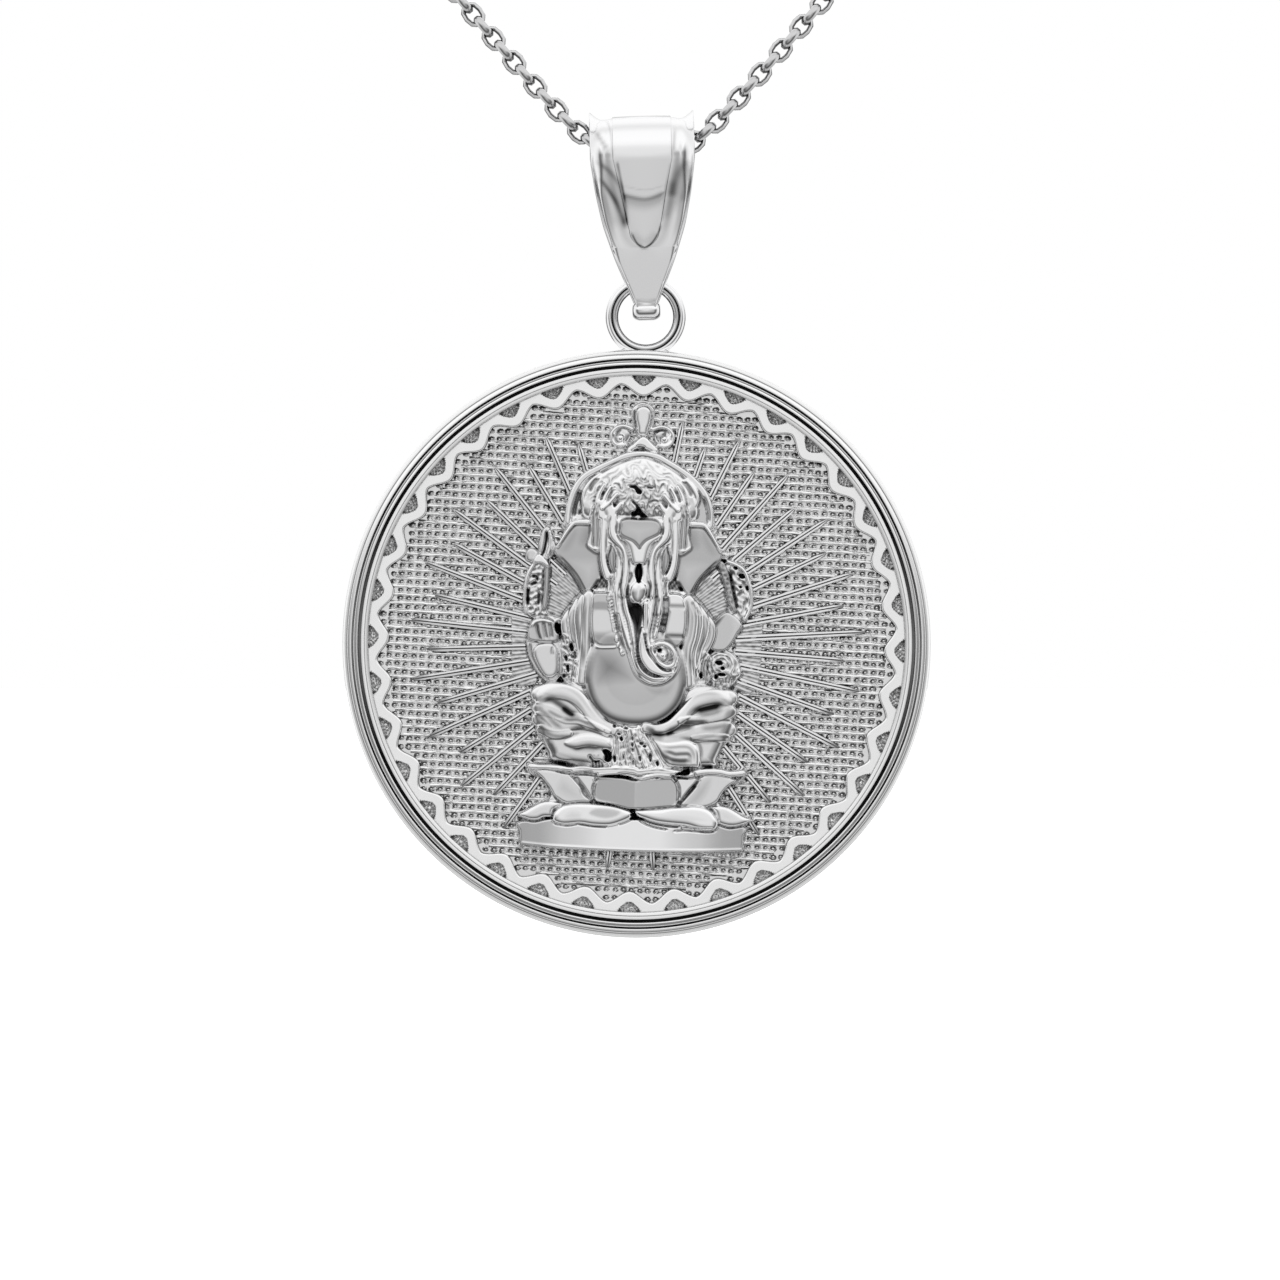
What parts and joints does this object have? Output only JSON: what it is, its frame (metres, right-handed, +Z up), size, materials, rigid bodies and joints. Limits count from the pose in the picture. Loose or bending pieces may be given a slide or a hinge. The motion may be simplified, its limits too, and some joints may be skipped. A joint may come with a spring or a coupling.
{
  "type": "ganesha medallion pendant on a chain necklace",
  "caption": "Round relief medallion of a seated Ganesha with rays and a beaded rim, hung from a tapered bail on a fine link chain.",
  "frame": {"origin": "nape of the wearer's neck, at the middle of the back of the chain, where the necklace hangs", "axes": "+X to the right of someone facing the pendant, -Y the way the pendant faces, +Z up"},
  "size_m": [0.1068, 0.1083, 0.1413],
  "materials": {
    "white_gold": "polished white gold"
  },
  "bodies": {
    "chain": {"chain_left": "white_gold", "chain_right": "white_gold", "clasp": "white_gold", "end_ring": "white_gold"},
    "bail": {"bail": "white_gold"},
    "medallion": {"medallion": "white_gold"}
  },
  "joints": [
    {"name": "bail_swing", "type": "hinge", "parent": "chain", "child": "bail", "pos_m": [0, -0.104, -0.095], "axis": [1, 0, 0], "range_deg": [-60, 60]},
    {"name": "medallion_swing", "type": "hinge", "parent": "bail", "child": "medallion", "pos_m": [0.00018, -0.104, -0.102], "axis": [1, 0, 0], "range_deg": [-60, 60]}
  ]
}
